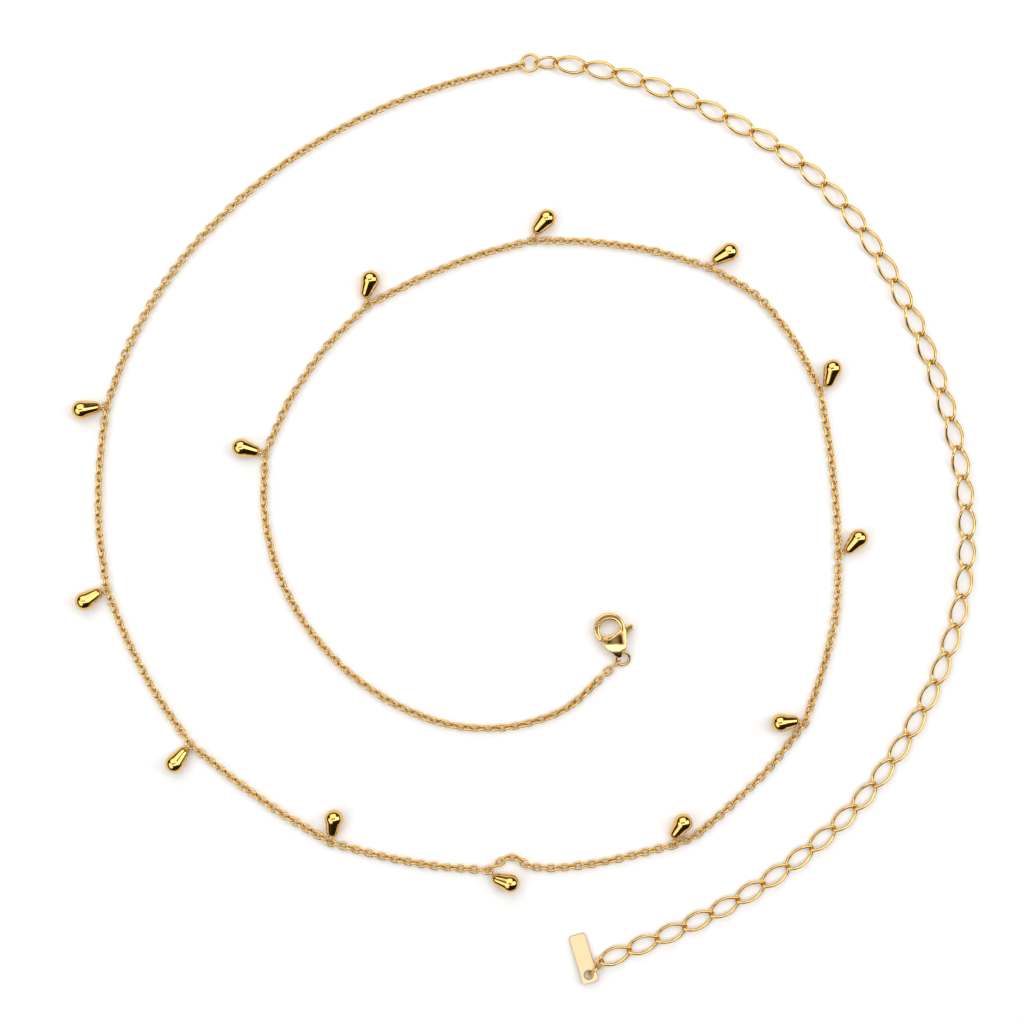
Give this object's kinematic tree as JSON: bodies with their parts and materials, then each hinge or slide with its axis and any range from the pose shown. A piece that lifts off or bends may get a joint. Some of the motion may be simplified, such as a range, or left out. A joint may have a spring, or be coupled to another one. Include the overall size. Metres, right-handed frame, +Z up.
{
  "type": "waist chain",
  "caption": "Fine gold-coloured waist chain with small pear-shaped drops, a lobster clasp and a sizing extender of twisted links ending in a plain tag, laid in an open spiral.",
  "frame": {"origin": "middle of the laid-out chain, on the table", "axes": "+Z up from the table, +Y towards the ring that joins the chain and its extender, +X towards the extender's side"},
  "size_m": [0.2056, 0.2118, 0.0043],
  "materials": {
    "polished_gold": "polished yellow gold plating",
    "satin_tag": "satin pale gold plating"
  },
  "bodies": {
    "chain": {"main_chain_outer": "polished_gold", "main_chain_inner": "polished_gold", "drop_01": "polished_gold", "drop_02": "polished_gold", "drop_03": "polished_gold", "drop_04": "polished_gold", "drop_05": "polished_gold", "drop_06": "polished_gold", "drop_07": "polished_gold", "drop_08": "polished_gold", "drop_09": "polished_gold", "drop_10": "polished_gold", "drop_11": "polished_gold", "drop_12": "polished_gold", "drop_13": "polished_gold", "join_ring": "polished_gold", "extender_chain": "polished_gold", "tag_link": "polished_gold", "tag_ring": "polished_gold", "tag": "satin_tag", "clasp_body": "polished_gold", "clasp_pin": "polished_gold", "clasp_ring": "polished_gold", "clasp_link": "polished_gold"},
    "lever": {"clasp_lever": "polished_gold"}
  },
  "joints": [
    {"name": "lever_pivot", "type": "hinge", "parent": "chain", "child": "lever", "pos_m": [0.01838, -0.02781, 0.00145], "axis": [0, 0, 1], "range_deg": [-18, 0], "stiffness_Nm_per_rad": 0.0008, "springref_deg": 14.32}
  ]
}
